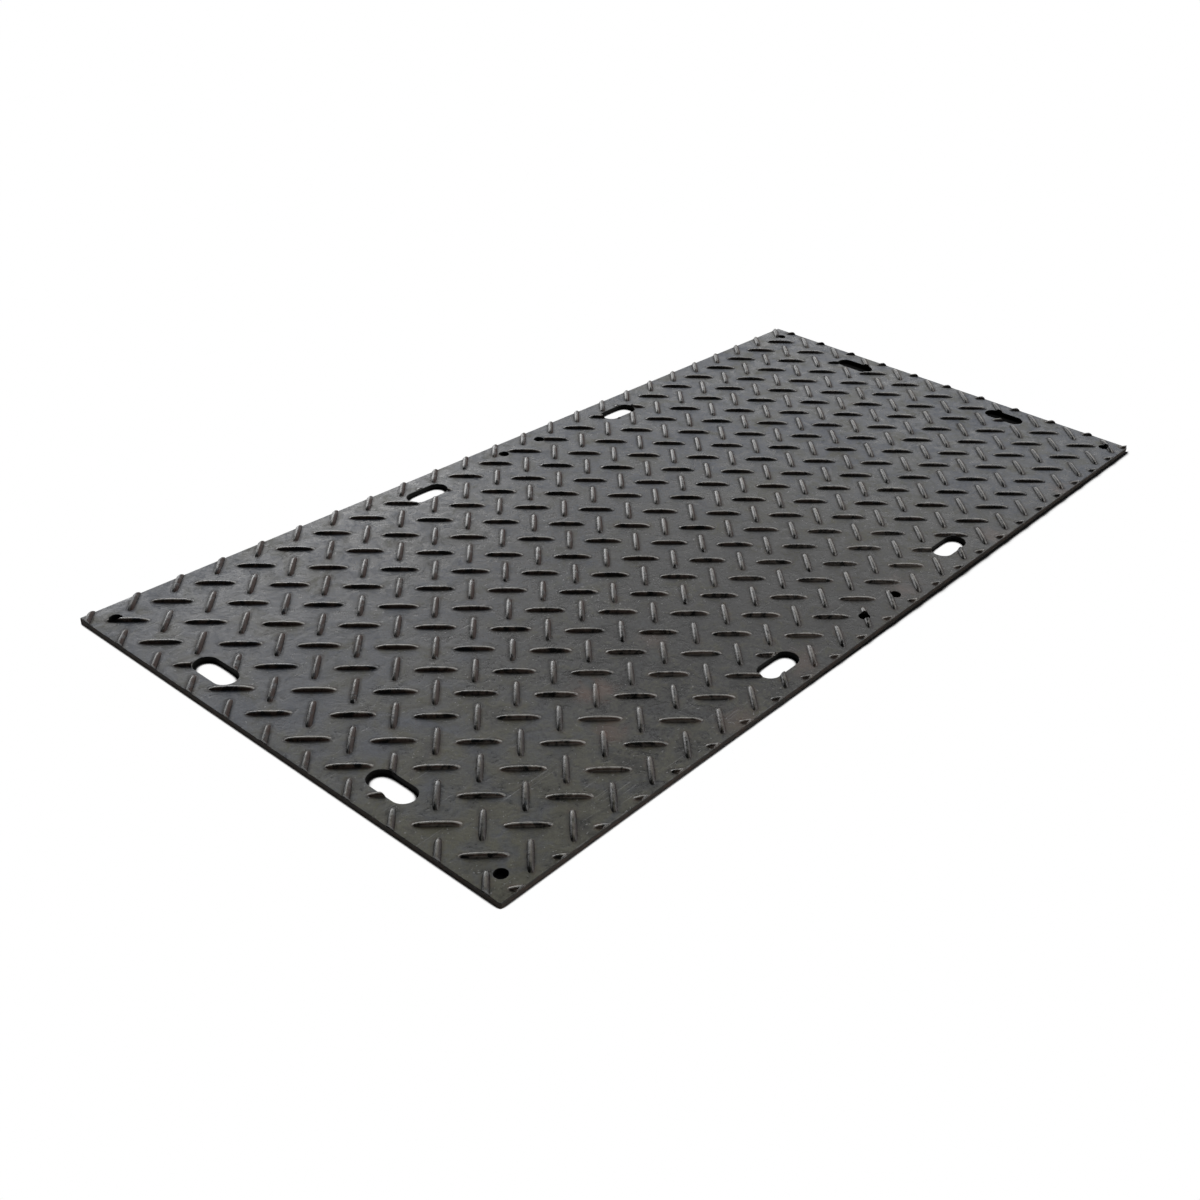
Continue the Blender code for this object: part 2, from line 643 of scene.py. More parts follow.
@dataclass(frozen=True)
class Noises:
    """The noises that break up the wear, from the broadest to the finest."""

    clouds: Value
    blotches: Value
    mottle: Value
    fine: Value
    grain: Value


@dataclass(frozen=True)
class Surface:
    """Where a point is on the mat, and from 0 to 1 how much it belongs to each part of it.

    The height is a share of the bars' height. Inward is the way to the nearest outer edge, and distance
    the way to the nearest bar, in metres. Far, front and nearest are zones of the sheet: its far end,
    the part about the near corner and the middle of that part.
    """

    graph: Graph
    place: Socket
    noises: Noises
    x: Value
    y: Value
    height: Value
    inward: Value
    distance: Value
    far: Value
    front: Value
    nearest: Value
    flat: Value
    wall: Value
    outer: Value
    # Painted highlights: lines along the crests of the back-leaning and the forward-leaning bars.
    back_crest_highlight: Value
    forward_crest_highlight: Value
    dark_flank: Value
    # The lower front-facing part of the dark flank, which is laid with a pale grey.
    pale_lower_flank: Value
    right_flank: Value
    # Painted shade: at the feet of the forward-leaning bars, in a band round every bar, and in front of the
    # back-leaning bars.
    flank_foot_shade: Value
    foot: Value
    front_shade: Value


@dataclass(frozen=True)
class Weight:
    """How strong a mark is: a level over the whole sheet, and what each zone adds to it."""

    level: float = 0.0
    far: float = 0.0
    front: float = 0.0
    nearest: float = 0.0

    def on(self, surface: Surface) -> Union[Value, float]:
        """The level and the zones' parts, added up.

        Args:
            surface: The surface, whose zones are used.

        Returns:
            The strength at each point.
        """
        total: Union[Value, float] = self.level
        for part, zone in ((self.far, surface.far), (self.front, surface.front), (self.nearest, surface.nearest)):
            if part:
                total = total + part * zone
        return total


def add_patches(on: Surface, stains: Sequence[Stain], ragged: Value) -> Value:
    """Soft round patches with ragged edges, added up.

    Args:
        on: The surface.
        stains: The patches.
        ragged: Noise that roughens their edges.

    Returns:
        Their strength.
    """
    total = None
    for right_flank_brown in stains:
        across, along = on.x - right_flank_brown.x, on.y - right_flank_brown.y
        reach = (across * across + along * along).root() / right_flank_brown.radius + PATCH_RAGGEDNESS * ragged.swing()
        part = reach.share(*PATCH_EDGE) * right_flank_brown.strength
        total = part if total is None else total + part
    return total


@dataclass(frozen=True)
class SurfaceZones:
    """The parts of the mat that its wear, its painted highlights and its painted shade follow.

    Each step gives where a part starts and where it is whole. Facings are parts of the normal, edges
    are metres outside a bar or a painted highlight line along its crest, and zones are places on the sheet.
    """

    flat_facing: Step = (0.90, 0.985)
    wall_facing: Step = (0.30, 0.15)
    right_facing: Step = (-0.16, 0.10)
    front_facing: Step = (-0.10, -0.40)
    wall_top: Step = (0.001, 0.0)
    outer_edge: Step = (-0.004, -0.002)
    far_zone: Step = (-0.90, 0.60)
    front_zone_along: Step = (0.732, 0.122)
    front_zone_across: Step = (0.244, -0.549)
    nearest_zone: Step = (0.35, 1.0)
    bar_edge: Step = (0.0004, -0.0004)
    # Half the width of the painted highlight lines along the crests, and where they fade.
    highlight_half_width: float = 0.0020
    back_highlight_edge: Step = (0.0015, -0.0010)
    forward_highlight_edge: Step = (0.0006, -0.0008)
    pale_lower_flank_edge: Step = (-0.0036, -0.0010)
    right_flank_edge: Step = (0.0, -0.0015)
    # Where the bands of painted shade fade, and how far the front shade is moved.
    flank_foot_shade_edge: Step = (-0.0040, -0.0012)
    foot_shade_edge: Step = (0.0065, 0.0010)
    front_shade_shift: float = 0.0034
    front_shade_edge: Step = (0.0018, -0.0008)
    noises: tuple[tuple[float, ...], ...] = (
        (2.6, 6.0, 0.62, 0.4), (11.0, 4.0, 0.6, 0.8), (34.0, 5.0, 0.65, 0.6), (130.0, 4.0, 0.65, 0.3),
        (420.0, 3.0, 0.6))

    def outside(self, x: Value, y: Value, mat: MouldedMat, lean: Lean, half_width: float) -> Value:
        """How far a point is outside a band that runs along the nearest bar of one set of rows.

        The point is moved to the nearest bar's middle, turned to lie along it, and measured from the
        straight line between the middles of the band's two round ends, less half the band's width.

        Args:
            x: The point's x.
            y: The point's y.
            mat: The mat, whose pattern and bars are used.
            lean: Which set of rows.
            half_width: Half the band's width. The band is as long as the bar.

        Returns:
            The distance in metres, below 0 in the band.
        """
        start = mat.pattern.start(lean)
        pitch = (mat.pattern.pitch_along, mat.pattern.pitch_across)
        beside = []
        for axis, first, step in zip((x, y), start, pitch):
            turns = (axis - first) / step
            beside.append((turns - (turns + 0.5).floor()) * step)
        turn = lean.value * mat.bar.angle
        along = beside[0] * math.cos(turn) + beside[1] * math.sin(turn)
        across = beside[1] * math.cos(turn) - beside[0] * math.sin(turn)
        past = (abs(along) - (mat.bar.length / 2 - half_width)).greater(0.0)
        return (past * past + across * across).root() - half_width

    def read(self, graph: Graph, mat: MouldedMat) -> Surface:
        """Works out where each point is and which parts of the mat it belongs to.

        The dark flank is a back-leaning bar outside the painted highlight along its crest, and its pale lower
        flank is the lower part that faces the front. The right flank and the painted shade at the flank's foot
        are on the forward-leaning bars. The foot is a band of painted shade on the flat sheet round every bar.
        The front shade is painted on the sheet before the back-leaning bars, and is a bar's outline moved to the
        front.

        Args:
            graph: The material's nodes.
            mat: The mat.

        Returns:
            The surface.
        """
        coordinates = graph.node("ShaderNodeTexCoord").outputs
        (x, y, z), (facing_x, facing_y, facing_up) = (
            graph.parts(coordinates[kind]) for kind in ("Object", "Normal"))
        above, shift, bar_half_width = z - mat.thickness, self.front_shade_shift, mat.bar.width / 2
        half_length, half_width = mat.length / 2, mat.width / 2
        from_back, from_forward = (self.outside(x, y, mat, lean, bar_half_width) for lean in Lean)
        from_back_highlight, from_forward_highlight = (self.outside(x, y, mat, lean, self.highlight_half_width) for lean in Lean)
        # A bar's outline moved towards the front, for the painted shade in front of it.
        from_moved = self.outside(x + shift, y + shift, mat, Lean.BACK, bar_half_width)
        distance = from_back.lesser(from_forward)

        flat = facing_up.share(*self.flat_facing)
        wall = facing_up.share(*self.wall_facing) * above.share(*self.wall_top)
        off_wall = 1 - wall
        front = y.share(*self.front_zone_across) * x.share(*self.front_zone_along)
        # Painted highlight: a line along each back-leaning bar's crest.
        back_crest_highlight = from_back_highlight.share(*self.back_highlight_edge)
        dark_flank = from_back.share(*self.bar_edge) * (1 - back_crest_highlight) * off_wall
        to_front = (facing_x + facing_y).share(*self.front_facing)
        to_right = (facing_x - facing_y).share(*self.right_facing)
        beside = distance.share(*self.bar_edge[::-1]) * flat
        place = coordinates["Object"]
        return Surface(
            graph=graph, place=place, noises=Noises(*(graph.noise(place, *settings) for settings in self.noises)),
            x=x, y=y, height=above / mat.bar.height,
            inward=(half_length - abs(x)).lesser(half_width - abs(y)), distance=distance,
            far=x.share(*self.far_zone), front=front, nearest=front.share(*self.nearest_zone),
            flat=flat, wall=wall,
            outer=(abs(x) - half_length).greater(abs(y) - half_width).share(*self.outer_edge),
            # Painted highlights along the crests of both sets of bars.
            back_crest_highlight=back_crest_highlight, forward_crest_highlight=from_forward_highlight.share(*self.forward_highlight_edge),
            # A pale grey goes on the lower front-facing part of the dark flank.
            dark_flank=dark_flank, pale_lower_flank=from_back.share(*self.pale_lower_flank_edge) * dark_flank * to_front,
            right_flank=to_right * from_forward.share(*self.right_flank_edge) * off_wall,
            # Painted shade on the lower sides of the forward-leaning bars.
            flank_foot_shade=from_forward.share(*self.flank_foot_shade_edge) * from_forward.share(*self.bar_edge) * off_wall,
            # Painted shade: a dark band on the sheet round every bar's foot.
            foot=distance.share(*self.foot_shade_edge) * beside,
            # Painted shade on the sheet in front of the back-leaning bars.
            front_shade=from_moved.share(*self.front_shade_edge) * beside)


@dataclass(frozen=True)
class DustFilm:
    """A thin film of dust, cool toward the back and warm toward the near corner; the blue tint of its cool colour
    is painted sky reflection.

    Its thickness is a level, plus a part that grows away from the worn spot, plus the dust patches,
    plus each noise's swing about its middle. The finer noises are weaker at the left end, and the film
    is worn off in part where the blotches are strong.
    """

    # Dust colour with a blue tint that is painted sky reflection.
    cool_dust_and_sky_tint: Colour = (0.108, 0.123, 0.155)
    warm: Colour = (0.124, 0.121, 0.078)
    worn_spot: tuple[float, float] = (-0.10, -0.45)
    worn_reach: tuple[float, float] = (1.02, 1.30)
    worn_slant: float = 0.45
    level: float = 0.06
    settled: float = 0.70
    settled_reach: Step = (0.10, 1.15)
    in_patches: float = 0.35
    patch_blotches: Step = (0.40, 0.62)
    cloud_swing: float = 0.8
    mottle_swing: float = 2.6
    fine_swing: float = 2.4
    swing_at_left: float = 0.45
    swing_elsewhere: float = 0.55
    left_end: Step = (-1.10, -0.40)
    bare: float = 0.7
    bare_blotches: Step = (0.60, 0.72)
    warmth: float = 0.10
    front_warmth: float = 0.80
    blotch_warmth: float = 3.4
    mottle_warmth: float = 1.8

    def thickness(self, on: Surface, dusty: Value) -> Value:
        """How thick the film is on the flat sheet.

        Args:
            on: The surface.
            dusty: The strength of the dust patches.

        Returns:
            The thickness. It covers the plastic at 1, and may be more.
        """
        noises = on.noises
        back = on.y - self.worn_spot[1]
        worn_x = (on.x - self.worn_spot[0] + self.worn_slant * back) / self.worn_reach[0]
        worn_y = back / self.worn_reach[1]
        from_spot = (worn_x * worn_x + worn_y * worn_y).root().share(*self.settled_reach)
        patches = self.in_patches * dusty * noises.blotches.share(*self.patch_blotches)
        swing = self.mottle_swing * noises.mottle.swing() + self.fine_swing * noises.fine.swing()
        swing = swing * (self.swing_at_left + self.swing_elsewhere * on.x.share(*self.left_end))
        total = self.level + self.settled * from_spot + patches + self.cloud_swing * noises.clouds.swing() + swing
        return on.flat * total.greater(0.0) * (1 - self.bare * noises.blotches.share(*self.bare_blotches))

    def colour(self, on: Surface) -> Socket:
        """The film's colour on a surface, whose cool side holds a painted sky tint."""
        warmth = (self.warmth + self.front_warmth * on.front + self.blotch_warmth * on.noises.blotches.swing()
                  + self.mottle_warmth * on.noises.mottle.swing())
        return on.graph.blend(warmth.greater(0.0).lesser(1.0), self.cool_dust_and_sky_tint, self.warm)


@dataclass(frozen=True)
class BarWear:
    """Soil on the bars and round their feet, with painted shade in the band round the feet, tones on the flanks
    and painted highlights on the crests.

    Each step of a noise gives where a mark starts and where it is whole, so that it comes in patches.
    """

    soil: Colour = (0.150, 0.092, 0.068)
    # A reddish-brown tone on the right flanks of the forward-leaning bars.
    right_flank_brown: Colour = (0.062, 0.036, 0.030)
    # Pale grey: the painted highlights along the crests, and the paler lower flank.
    pale_grey: Colour = (0.370, 0.355, 0.320)
    # Soil in a band round the bars' feet, which also stands in for the shade there.
    foot_band_soil_and_shade: float = 0.30
    foot_band_soil_and_shade_edge: Step = (0.009, 0.0)
    foot_band_soil_and_shade_mottle: Step = (0.42, 0.60)
    soil_blotches: Step = (0.34, 0.58)
    most_soil: float = 0.85
    # A soil-coloured tone on the dark flanks, stronger near the near corner and weaker at the far end.
    flank_tone: Weight = Weight(0.28, far=-0.14, front=0.45)
    flank_tone_mottle: Step = (0.38, 0.56)
    # A pale grey on the lower front-facing flanks near the near corner.
    lower_flank_tone: Weight = Weight(nearest=0.55)
    lower_flank_mottle: Step = (0.34, 0.52)
    # Painted highlight on the forward-leaning bars' crests, stronger at the far end.
    forward_crest_highlight: Weight = Weight(0.45, far=0.50)
    crest_highlight_mottle: Step = (0.36, 0.60)
    right_brown_mottle: Step = (0.34, 0.50)
    right_brown_lost_along: float = 0.20
    right_brown_along: Step = (-0.50, 0.30)
    right_brown_at_front: float = 0.45
    right_brown_at_back: float = 0.55
    right_brown_back: Step = (-0.45, 0.05)
    right_brown_lost_on_highlight: Weight = Weight(far=0.80)
    stains: tuple[Stain, ...] = (
        Stain(-0.685, -0.314, 0.050, 0.9), Stain(-0.755, -0.430, 0.045, 0.8), Stain(-0.466, -0.283, 0.040, 0.4),
        Stain(-0.300, -0.580, 0.070, 0.5), Stain(0.120, -0.560, 0.060, 0.5), Stain(0.480, -0.590, 0.050, 0.5),
        Stain(0.850, -0.600, 0.045, 0.6), Stain(-0.560, -0.590, 0.060, 0.4))

    def over(self, colour: Socket, on: Surface) -> Socket:
        """Lays the soil and the painted shade round the feet, the tones on the flanks and the painted highlight
        lines along the crests over a colour, in that order.

        Args:
            colour: The colour below.
            on: The surface.

        Returns:
            The colour with the wear.
        """
        mottle = on.noises.mottle
        # Soil and painted shade in a band round the bars' feet, with the soil patches.
        foot_band_soil_and_shade = on.distance.share(*self.foot_band_soil_and_shade_edge) * on.flat * mottle.share(*self.foot_band_soil_and_shade_mottle)
        soil_and_foot_shade = self.foot_band_soil_and_shade * foot_band_soil_and_shade + add_patches(on, self.stains, mottle)
        soil_and_foot_shade = soil_and_foot_shade * on.noises.blotches.share(*self.soil_blotches)
        # A soil-coloured tone on the dark flanks.
        flank = self.flank_tone.on(on) * mottle.share(*self.flank_tone_mottle) * on.dark_flank
        # A pale grey on the lower front-facing flanks.
        foot = self.lower_flank_tone.on(on) * on.pale_lower_flank * mottle.share(*self.lower_flank_mottle)
        # Painted highlights: pale grey lines along the bars' crests.
        crest = (on.back_crest_highlight + self.forward_crest_highlight.on(on) * on.forward_crest_highlight) * mottle.share(*self.crest_highlight_mottle)
        for share, mark in ((soil_and_foot_shade.lesser(self.most_soil), self.soil), (flank, self.soil),
                            (foot, self.pale_grey), (crest, self.pale_grey)):
            colour = on.graph.blend(share, colour, mark)
        return colour

    def right_flank_brown_share(self, on: Surface) -> Value:
        """How strongly the right flanks of the forward-leaning bars take the reddish-brown tone.

        Args:
            on: The surface.

        Returns:
            The share, from 0 to 1.
        """
        along = 1 - self.right_brown_lost_along * on.x.share(*self.right_brown_along)
        across = self.right_brown_at_front + self.right_brown_at_back * on.y.share(*self.right_brown_back)
        off_highlight = 1 - self.right_brown_lost_on_highlight.on(on) * on.forward_crest_highlight
        return on.right_flank * on.noises.mottle.share(*self.right_brown_mottle) * along * across * off_highlight


@dataclass(frozen=True)
class Scratches:
    """A set of fine straight scratches that run one way, in loose groups."""

    degrees: float
    to_a_metre: float
    shift: float
    strength: float
    along: float = 5.0
    group_stretch: tuple[float, float, float] = (3.0, 9.0, 3.0)
    line_noise: tuple[float, float, float] = (1.0, 2.0, 0.6)
    line_edge: Step = (0.66, 0.72)
    group_noise: tuple[float, float] = (1.0, 1.0)
    group_edge: Step = (0.52, 0.60)

    def marks(self, on: Surface) -> Value:
        """The scratches.

        Args:
            on: The surface.

        Returns:
            Their strength on a scratch, and 0 off it.
        """
        stretch = (self.along, self.to_a_metre, self.along)
        for_lines = on.graph.turned(on.place, self.degrees, stretch, (self.shift, self.shift, 0.0))
        for_groups = on.graph.turned(on.place, self.degrees, self.group_stretch, (self.shift, 0.0, self.shift))
        lines = on.graph.noise(for_lines, *self.line_noise).share(*self.line_edge)
        groups = on.graph.noise(for_groups, *self.group_noise).share(*self.group_edge)
        return lines * groups * self.strength


@dataclass(frozen=True)
class SawnWall:
    """The matt cut walls of the sheet and its openings, with saw marks that run along them. The openings' walls
    are painted near black as shade.
    """

    outside: Colour = (0.050, 0.049, 0.045)
    # Painted shade: near black for the openings' walls and for the bands round the bars.
    inside_shade: Colour = (0.008, 0.008, 0.007)
    rough: float = 0.7
    gloss: float = 0.12
    squash: tuple[float, float, float] = (1.0, 1.0, 14.0)
    noise: tuple[float, float, float] = (60.0, 3.0, 0.6)
    soil: float = 0.6
    soil_edge: Step = (0.42, 0.66)
    bump: float = 0.5
    bump_depth: float = 0.0006

    def shader(self, on: Surface, wear: BarWear) -> Socket:
        """The walls' shader, which the painted shade bands and the reddish-brown flanks of the bars share.

        Args:
            on: The surface.
            wear: The colours of the soil and of the reddish-brown flanks.

        Returns:
            The shader's output.
        """
        graph = on.graph
        sawn = graph.noise(graph.turned(on.place, 0.0, self.squash), *self.noise)
        # Painted shade: near black away from the sheet's outer edge.
        colour = graph.blend(on.outer, self.inside_shade, self.outside)
        colour = graph.blend(on.outer * sawn.share(*self.soil_edge) * self.soil, colour, wear.soil)
        # A reddish-brown tone on the right flanks.
        colour = graph.blend(on.right_flank, colour, wear.right_flank_brown)
        bump = graph.node("ShaderNodeBump", {}, {
            "Strength": self.bump, "Distance": self.bump_depth, "Height": sawn})
        return graph.node("ShaderNodeBsdfPrincipled", {}, {
            "Base Color": colour, "Roughness": self.rough, "IOR": PLASTIC_IOR, "Specular IOR Level": self.gloss,
            "Normal": bump.outputs[0]}).outputs[0]


@dataclass(frozen=True)
class BlackPolyethylene:
    """Used black polyethylene: a satin skin under dust, soil and light marks, with painted highlights along the
    crests, painted shade round the bars, and matt cut walls.
    """

    clean: Colour = (0.0045, 0.0045, 0.0042)
    chalk: Colour = (0.40, 0.40, 0.40)
    zones: SurfaceZones = SurfaceZones()
    film: DustFilm = DustFilm()
    wear: BarWear = BarWear()
    wall: SawnWall = SawnWall()
    dust_patches: tuple[Stain, ...] = (
        Stain(-0.430, -0.040, 0.150, 1.0), Stain(-0.240, -0.180, 0.120, 0.8), Stain(-0.960, 0.250, 0.200, 0.4),
        Stain(0.480, 0.330, 0.260, 0.5), Stain(-0.020, -0.400, 0.320, -0.8), Stain(-0.550, 0.420, 0.300, -0.7))
    scratches: tuple[Scratches, ...] = (
        Scratches(24.0, 230.0, 1.3, 1.0), Scratches(-63.0, 190.0, 4.1, 1.0), Scratches(78.0, 260.0, 7.7, 0.7))
    scuff_mark: float = 0.25
    speck_mark: float = 0.70
    speck_noise: tuple[float, float, float] = (190.0, 1.0, 0.5)
    speck_edge: Step = (0.715, 0.745)
    speck_blotches: Step = (0.40, 0.54)
    specks_in_dust: float = 0.05
    nick_mark: float = 0.30
    nick_noise: tuple[float, float, float] = (60.0, 3.0, 0.6)
    nick_edge: Step = (0.52, 0.62)
    nick_reach: Step = (0.0030, 0.0008)
    satin: float = 0.36
    polish: float = 0.12
    polished_height: Step = (0.02, 0.30)
    rough_swings: tuple[float, float, float] = (0.22, 0.60, 0.40)
    film_rough: float = 0.10
    scuff_rough: float = 0.12
    relief: tuple[float, float, float, float] = (0.20, 0.45, 1.4, 0.5)
    bump: float = 0.6
    bump_depth: float = 0.0010
    # How much painted shade the matt shader lays round the bars, in front of them and at their feet.
    foot_shade_matt: Weight = Weight(0.35, nearest=-0.20)
    front_shade_matt: Weight = Weight(0.20, far=0.65)
    flank_foot_shade_matt: Weight = Weight(far=0.60)
    right_brown_matt: float = 0.80

    def marked(self, colour: Socket, on: Surface, dusty: Value, scuffs: Value) -> Socket:
        """Lays light marks over a colour: specks and scratches on the flat sheet, and nicks along its rim.

        Args:
            colour: The colour below.
            on: The surface.
            dusty: The strength of the dust patches, where the specks are closer.
            scuffs: The scratches.

        Returns:
            The colour with the marks.
        """
        graph = on.graph
        specks = (graph.noise(on.place, *self.speck_noise) + self.specks_in_dust * dusty).share(*self.speck_edge)
        specks = specks * on.noises.blotches.share(*self.speck_blotches)
        nicks = on.inward.share(*self.nick_reach) * graph.noise(on.place, *self.nick_noise).share(*self.nick_edge)
        marks = (self.speck_mark * specks + self.scuff_mark * scuffs).lesser(1.0) * on.flat
        marks = marks + self.nick_mark * (nicks * (1 - on.wall))
        return graph.blend(marks.lesser(1.0), colour, self.chalk)

    def roughness(self, on: Surface, film: Value, scuffs: Value) -> Value:
        """The skin's roughness: satin, more polished up the bars, and duller in the film and on scratches.

        Args:
            on: The surface.
            film: The film's thickness.
            scuffs: The scratches.

        Returns:
            The roughness.
        """
        rough = self.satin - self.polish * on.height.share(*self.polished_height)
        for swing, noise in zip(self.rough_swings, (on.noises.clouds, on.noises.mottle, on.noises.fine)):
            rough = rough + swing * noise.swing()
        return rough + self.film_rough * film + self.scuff_rough * scuffs

    def skin(self, on: Surface) -> Socket:
        """The shader of the moulded surface.

        Args:
            on: The surface.

        Returns:
            The shader's output.
        """
        graph, noises = on.graph, on.noises
        dusty = add_patches(on, self.dust_patches, noises.blotches)
        film = self.film.thickness(on, dusty)
        first, *others = (scratch.marks(on) for scratch in self.scratches)
        scuffs = sum(others, first)
        colour = graph.blend(film.lesser(1.0), self.clean, self.film.colour(on))
        colour = self.marked(self.wear.over(colour, on), on, dusty, scuffs)
        grain, fine, mottle, scratch = self.relief
        relief = noises.grain * grain + noises.fine * fine + noises.mottle * mottle - scratch * scuffs
        bump = graph.node("ShaderNodeBump", {}, {
            "Strength": self.bump, "Distance": self.bump_depth, "Height": relief})
        return graph.node("ShaderNodeBsdfPrincipled", {}, {
            "Base Color": colour, "Roughness": self.roughness(on, film, scuffs), "IOR": PLASTIC_IOR,
            "Normal": bump.outputs[0]}).outputs[0]

    def material(self, mat: MouldedMat) -> bpy.types.Material:
        """The material: the skin, with the walls' matt shader over walls, over the painted shade round, in front
        of and at the feet of the bars, and over the reddish-brown flanks.

        Args:
            mat: The mat that it is for, whose sizes place the dust and the wear.

        Returns:
            The new material.
        """
        made = bpy.data.materials.new("black_polyethylene_used")
        made.use_nodes = True
        graph = Graph(made.node_tree)
        on = self.zones.read(graph, mat)
        # Painted shade: the matt shader's near black round the bars' feet, in front of them and at the feet of
        # the forward-leaning bars.
        matt = (on.wall + self.foot_shade_matt.on(on) * on.foot
                + self.front_shade_matt.on(on) * (1 - on.nearest) * on.front_shade
                + self.flank_foot_shade_matt.on(on) * on.flank_foot_shade
                # A reddish-brown matt tone on the right flanks.
                + self.right_brown_matt * self.wear.right_flank_brown_share(on))
        both = graph.node("ShaderNodeMixShader", {}, {
            0: matt.lesser(1.0), 1: self.skin(on), 2: self.wall.shader(on, self.wear)})
        graph.node("ShaderNodeOutputMaterial", {}, {"Surface": both.outputs[0]})
        return made


@dataclass(frozen=True)
class StudioFloor:
    """A plain white floor that keeps the mat's contact shadow.

    The shadow follows how open the floor is to the sky. It is made deeper under the mat, most of all
    at the far end, where nothing but shadow is seen through the slots, and along the front edge.
    """

    size: float = 60.0
    colour: Colour = (0.80, 0.80, 0.80)
    white: Colour = (1.0, 1.0, 1.0)
    shadow: Colour = (0.02, 0.02, 0.02)
    shadow_reach: float = 0.03
    shadow_samples: int = 32
    shadow_zone: tuple[float, float] = (1.30, 0.69)
    shadow_margin: float = 0.08
    shadow_step: Step = (0.53, 0.66)
    under_mat: float = 0.08
    under_mat_edge: Step = (0.0, -0.001)
    under_far_end: float = 0.50
    far_end: Step = (0.95, 1.10)
    front_line: float = 0.25
    front_line_along: Step = (-1.10, 0.30)
    front_line_across: Step = (-0.61, -0.612)

    def material(self) -> bpy.types.Material:
        """White to the camera and in gloss, and dark where the mat shuts out the light.

        The shadow is worked out only in a zone about the mat, because it reaches no further.

        Returns:
            The new material.
        """
        made = bpy.data.materials.new("white_floor")
        made.use_nodes = True
        graph = Graph(made.node_tree)
        rays = graph.node("ShaderNodeLightPath").outputs
        seen = Value(graph, rays["Is Camera Ray"]).greater(Value(graph, rays["Is Glossy Ray"]))
        seen = seen.greater(Value(graph, rays["Is Transmission Ray"]))
        place = graph.node("ShaderNodeTexCoord").outputs["Object"]
        x, y, _ = graph.parts(place)
        half_length, half_width = self.shadow_zone
        zone = (abs(x) - half_length).greater(abs(y) - half_width)
        close = zone.below(0.0)
        occlusion = graph.node("ShaderNodeAmbientOcclusion", {"samples": self.shadow_samples},
                               {"Distance": self.shadow_reach})
        under = self.under_mat + self.under_far_end * x.share(*self.far_end)
        under = under * (zone + self.shadow_margin).share(*self.under_mat_edge)
        line = self.front_line * x.share(*self.front_line_along) * y.share(*self.front_line_across)
        open_sky = (Value(graph, occlusion.outputs["AO"]) - under - line).share(*self.shadow_step)
        shade = graph.blend(open_sky, self.shadow, self.colour)
        glow = graph.node("ShaderNodeEmission", {}, {"Color": (*self.white, 1.0), "Strength": 1.0}).outputs[0]
        plain = graph.node("ShaderNodeBsdfDiffuse", {}, {"Color": (*self.colour, 1.0)}).outputs[0]
        shaded = graph.node("ShaderNodeBsdfDiffuse", {}, {"Color": shade}).outputs[0]
        far = graph.node("ShaderNodeMixShader", {}, {0: seen, 1: plain, 2: glow}).outputs[0]
        near = graph.node("ShaderNodeMixShader", {}, {0: seen * open_sky, 1: shaded, 2: glow}).outputs[0]
        both = graph.node("ShaderNodeMixShader", {}, {0: close, 1: far, 2: near})
        graph.node("ShaderNodeOutputMaterial", {}, {"Surface": both.outputs[0]})
        return made

    def build(self) -> bpy.types.Object:
        """Makes the floor.

        Returns:
            The floor.
        """
        half = self.size / 2
        corners = np.array([[-half, -half, 0.0], [half, -half, 0.0], [half, half, 0.0], [-half, half, 0.0]])
        floor = add_mesh("studio_floor", corners, [[0, 1, 2, 3]])
        floor.data.materials.append(self.material())
        return floor


def unit_vector(direction: float, rise: float) -> Vector:
    """A heading as a vector of length 1.

    Args:
        direction: Degrees from +X towards +Y.
        rise: Degrees above the floor.

    Returns:
        The vector.
    """
    turn, lift = math.radians(direction), math.radians(rise)
    return Vector((math.cos(turn) * math.cos(lift), math.sin(turn) * math.cos(lift), math.sin(lift)))


@dataclass(frozen=True)
class SoftBox:
    """One softbox: its name, the direction and height in degrees that it shines from, its size and power."""

    name: str
    direction: float
    height: float
    width: float
    depth: float
    power: float


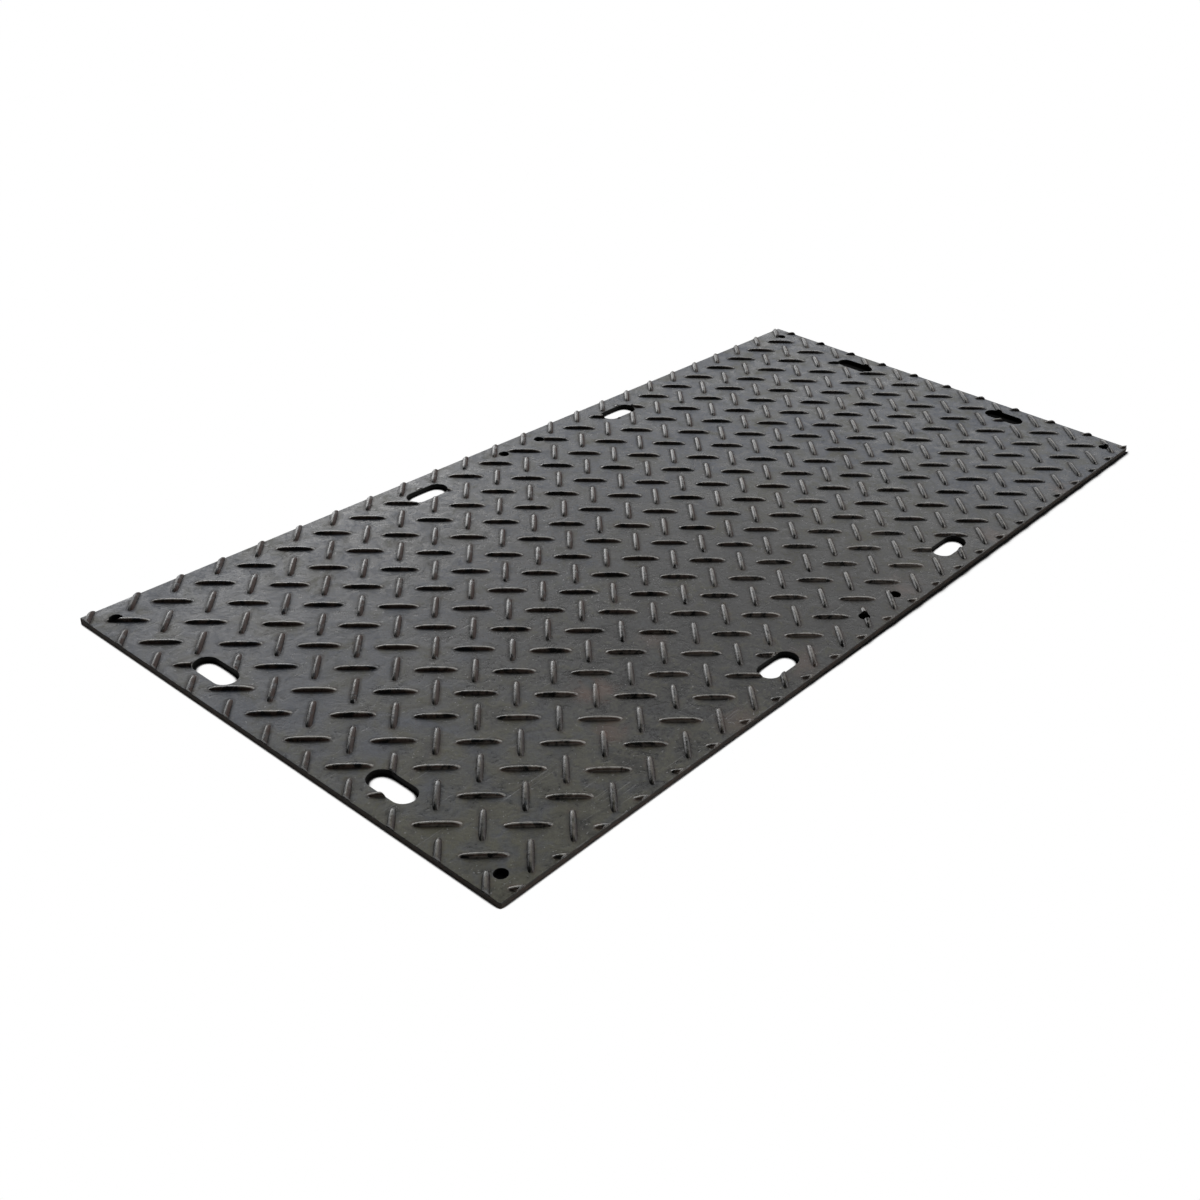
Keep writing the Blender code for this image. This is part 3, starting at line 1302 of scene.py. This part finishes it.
@dataclass(frozen=True)
class StudioLight:
    """Soft light from one side of the sky, with a softbox low at the back and one high at the right.

    The edges are of how squarely a direction faces a part of the sky, from -1 to 1. Each gives where
    the part starts and where it is whole.
    """

    bright_from: float = 15.0
    dim: float = 0.03
    bright: float = 1.75
    dark_at: float = 0.08
    bright_at: float = 0.42
    shade_from: tuple[float, float] = (120.0, 60.0)
    shade_edge: tuple[float, float] = (0.775, 0.665)
    overhead: tuple[float, float] = (0.68, 0.38)
    overhead_share: float = 0.80
    haze_from: tuple[float, float] = (4.0, 9.0)
    haze_edge: tuple[float, float] = (0.93, 0.99)
    haze_share: float = 0.60
    box_distance: float = 6.0
    boxes: tuple[SoftBox, ...] = (
        SoftBox("low_softbox", 68.0, 18.0, 3.2, 2.6, 64.0), SoftBox("high_softbox", -20.0, 53.0, 3.0, 2.4, 60.0))

    def world(self) -> None:
        """The world: white to the camera, and for everything else bright towards one side.

        With d for how squarely a direction faces that side, the strength rises in a smooth step from
        dim to bright as d goes from dark_at to bright_at. The sky is dark round a direction high at
        the left, dim overhead, and dimmed in part low at the right.
        """
        made = bpy.data.worlds.new("studio")
        bpy.context.scene.world = made
        made.use_nodes = True
        graph = Graph(made.node_tree)
        heading = graph.node("ShaderNodeTexCoord").outputs["Object"]

        def towards(direction: float, rise: float) -> Value:
            """How squarely a direction faces this one, given in degrees, from -1 to 1."""
            node = graph.node("ShaderNodeVectorMath", {"operation": "DOT_PRODUCT"},
                              {0: heading, 1: tuple(unit_vector(direction, rise))})
            return Value(graph, node.outputs["Value"])

        share = towards(self.bright_from, 0.0).share(self.dark_at, self.bright_at)
        share = share * towards(*self.shade_from).share(*self.shade_edge)
        share = share * (1 - self.haze_share * towards(*self.haze_from).share(*self.haze_edge))
        share = share * (1 - self.overhead_share * (1 - towards(0.0, 90.0).share(*self.overhead)))
        strength = self.dim + (self.bright - self.dim) * share
        seen = Value(graph, graph.node("ShaderNodeLightPath").outputs["Is Camera Ray"])
        level = strength * (1 - seen) + seen
        lit = graph.node("ShaderNodeBackground", {}, {"Color": (1.0, 1.0, 1.0, 1.0), "Strength": level})
        graph.node("ShaderNodeOutputWorld", {}, {"Surface": lit.outputs[0]})

    def place(self, box: SoftBox) -> bpy.types.Object:
        """Makes a softbox, aimed at the middle of the mat.

        Args:
            box: The softbox.

        Returns:
            The lamp.
        """
        lamp = bpy.data.lights.new(box.name, "AREA")
        lamp.shape = "RECTANGLE"
        lamp.size, lamp.size_y = box.width, box.depth
        lamp.energy = box.power
        made = bpy.data.objects.new(box.name, lamp)
        made.visible_camera = False
        heading = unit_vector(box.direction, box.height)
        made.location = heading * self.box_distance
        made.rotation_euler = heading.to_track_quat("Z", "Y").to_euler()
        bpy.context.scene.collection.objects.link(made)
        return made


@dataclass(frozen=True)
class StudioCamera:
    """The camera, at the photograph's place and angle."""

    place: tuple[float, float, float] = (-2.3732, -1.8194, 1.6315)
    aim: tuple[float, float, float] = (-0.2463, -0.2793, 0.0127)
    roll: float = 4.56
    focal_pixels: float = 1395.4
    picture_pixels: float = 1200.0
    axis_pixel: float = 713.4
    sensor: float = 36.0

    def build(self) -> bpy.types.Object:
        """Makes the camera and looks through it.

        Returns:
            The camera.
        """
        lens = bpy.data.cameras.new("camera")
        lens.sensor_width = self.sensor
        lens.lens = self.focal_pixels * self.sensor / self.picture_pixels
        lens.shift_x = (self.picture_pixels / 2 - self.axis_pixel) / self.picture_pixels
        camera = bpy.data.objects.new("camera", lens)
        look = (Vector(self.aim) - Vector(self.place)).to_track_quat("-Z", "Y").to_matrix().to_4x4()
        tilt = Matrix.Rotation(math.radians(self.roll), 4, "Z")
        camera.matrix_world = Matrix.Translation(self.place) @ look @ tilt
        bpy.context.scene.collection.objects.link(camera)
        bpy.context.scene.camera = camera
        return camera


def main() -> None:
    """Builds the mat and the studio round it."""
    logging.basicConfig(level=logging.INFO, format="%(message)s")
    bpy.context.scene.view_settings.view_transform = "Standard"
    low, high = (Vector(corner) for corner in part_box(CAD_NODE))
    size = high - low
    mat = MouldedMat(size.x, size.y, size.z).build(BlackPolyethylene())
    LOG.info("%s: %d faces, %d points", mat.name, len(mat.data.polygons), len(mat.data.vertices))
    floor = StudioFloor().build()
    LOG.info("%s: %.0f m across", floor.name, StudioFloor.size)
    light = StudioLight()
    light.world()
    for box in light.boxes:
        LOG.info("%s: %.0f W", light.place(box).name, box.power)
    LOG.info("%s: placed", StudioCamera().build().name)


if __name__ == "__main__":
    main()
